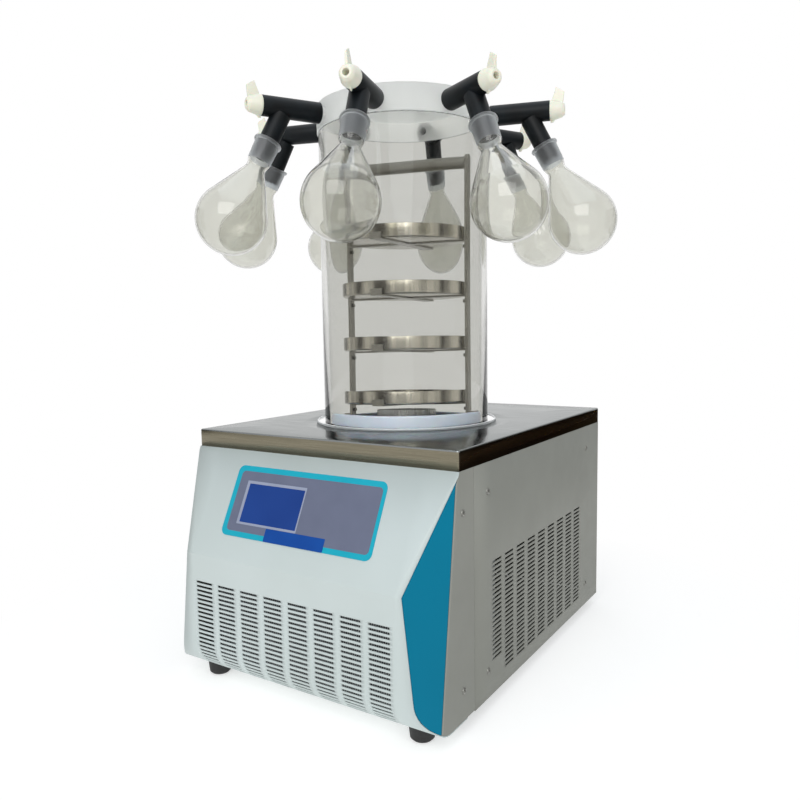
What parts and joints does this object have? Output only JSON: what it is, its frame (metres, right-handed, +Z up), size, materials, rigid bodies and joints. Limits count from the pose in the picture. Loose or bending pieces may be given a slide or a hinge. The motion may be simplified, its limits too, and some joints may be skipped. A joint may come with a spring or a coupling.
{
  "type": "freeze dryer",
  "caption": "Bench-top freeze dryer: boxed base with sloped control panel and vents, clear chamber with a tray rack, and a ring of flasks on rubber valves around its top.",
  "frame": {"origin": "on the floor, on the vertical axis of the drying chamber", "axes": "+Z up along the chamber axis, front of the cabinet towards -Y, +X to the right seen from the front"},
  "size_m": [0.6432, 0.6432, 0.877],
  "materials": {
    "painted_steel": "satin",
    "side_grey": "satin",
    "teal_paint": "satin",
    "brushed_steel": "satin",
    "trap_steel": "satin",
    "galvanised": "matte",
    "overlay_film": "matte",
    "screen_glass": "gloss",
    "board": "matte",
    "screw_steel": "satin",
    "black_rubber": "matte",
    "clear_seal": "satin",
    "white_plastic": "satin",
    "ivory_plastic": "satin",
    "foam": "matte",
    "acrylic": "clear",
    "flask_glass": "clear",
    "compressor_black": "satin",
    "fin_aluminium": "satin",
    "black_plastic": "matte"
  },
  "bodies": {
    "cabinet": {"chassis": "galvanised", "rear_panel": "side_grey", "left_side_panel": "side_grey", "right_side_panel": "side_grey", "left_front_strip": "side_grey", "right_front_strip": "side_grey", "front_panel": "painted_steel", "left_cheek": "teal_paint", "right_cheek": "teal_paint", "top_plate": "brushed_steel", "control_overlay": "overlay_film", "touch_screen": "screen_glass", "control_board": "board", "panel_screws": "screw_steel", "feet": "black_rubber", "chamber_seal": "clear_seal", "trap_ring": "white_plastic", "cold_trap": "trap_steel", "trap_insulation": "foam", "guide_tube": "trap_steel", "compressor": "compressor_black", "condenser": "fin_aluminium", "fan_motor": "compressor_black", "power_inlet": "black_plastic", "vacuum_port": "trap_steel", "drain_spigot": "trap_steel", "drain_valve": "trap_steel", "chamber_tube": "acrylic", "manifold_drum": "acrylic", "shelf_rack": "brushed_steel", "tray_1": "brushed_steel", "tray_2": "brushed_steel", "tray_3": "brushed_steel", "tray_4": "brushed_steel", "valve_bodies": "black_rubber", "flasks": "flask_glass"},
    "fan": {"fan_rotor": "black_plastic"},
    "rocker": {"rocker_switch": "black_plastic"},
    "drain_lever": {"drain_handle": "trap_steel"},
    "knob_1": {"valve_knob_1": "ivory_plastic"},
    "knob_2": {"valve_knob_2": "ivory_plastic"},
    "knob_3": {"valve_knob_3": "ivory_plastic"},
    "knob_4": {"valve_knob_4": "ivory_plastic"},
    "knob_5": {"valve_knob_5": "ivory_plastic"},
    "knob_6": {"valve_knob_6": "ivory_plastic"},
    "knob_7": {"valve_knob_7": "ivory_plastic"},
    "knob_8": {"valve_knob_8": "ivory_plastic"}
  },
  "joints": [
    {"name": "valve_1_turn", "type": "hinge", "parent": "cabinet", "child": "knob_1", "pos_m": [0.21697, 0.06324, 0.8385], "axis": [0.96, 0.2798, 0], "continuous": true},
    {"name": "valve_2_turn", "type": "hinge", "parent": "cabinet", "child": "knob_2", "pos_m": [0.1087, 0.19814, 0.8385], "axis": [0.481, 0.8767, 0], "continuous": true},
    {"name": "valve_3_turn", "type": "hinge", "parent": "cabinet", "child": "knob_3", "pos_m": [-0.06324, 0.21697, 0.8385], "axis": [-0.2798, 0.96, 0], "continuous": true},
    {"name": "valve_4_turn", "type": "hinge", "parent": "cabinet", "child": "knob_4", "pos_m": [-0.19814, 0.1087, 0.8385], "axis": [-0.8767, 0.481, 0], "continuous": true},
    {"name": "valve_5_turn", "type": "hinge", "parent": "cabinet", "child": "knob_5", "pos_m": [-0.21697, -0.06324, 0.8385], "axis": [-0.96, -0.2798, 0], "continuous": true},
    {"name": "valve_6_turn", "type": "hinge", "parent": "cabinet", "child": "knob_6", "pos_m": [-0.1087, -0.19814, 0.8385], "axis": [-0.481, -0.8767, 0], "continuous": true},
    {"name": "valve_7_turn", "type": "hinge", "parent": "cabinet", "child": "knob_7", "pos_m": [0.06324, -0.21697, 0.8385], "axis": [0.2798, -0.96, 0], "continuous": true},
    {"name": "valve_8_turn", "type": "hinge", "parent": "cabinet", "child": "knob_8", "pos_m": [0.19814, -0.1087, 0.8385], "axis": [0.8767, -0.481, 0], "continuous": true},
    {"name": "fan_spin", "type": "hinge", "parent": "cabinet", "child": "fan", "pos_m": [0, -0.217, 0.105], "axis": [0, 1, 0], "continuous": true},
    {"name": "rocker_tilt", "type": "hinge", "parent": "cabinet", "child": "rocker", "pos_m": [0.15, 0.302, 0.102], "axis": [-1, 0, 0], "range_deg": [0, 20]},
    {"name": "drain_turn", "type": "hinge", "parent": "cabinet", "child": "drain_lever", "pos_m": [0, 0.316, 0.16], "axis": [0, 1, 0], "range_deg": [0, 90]}
  ]
}
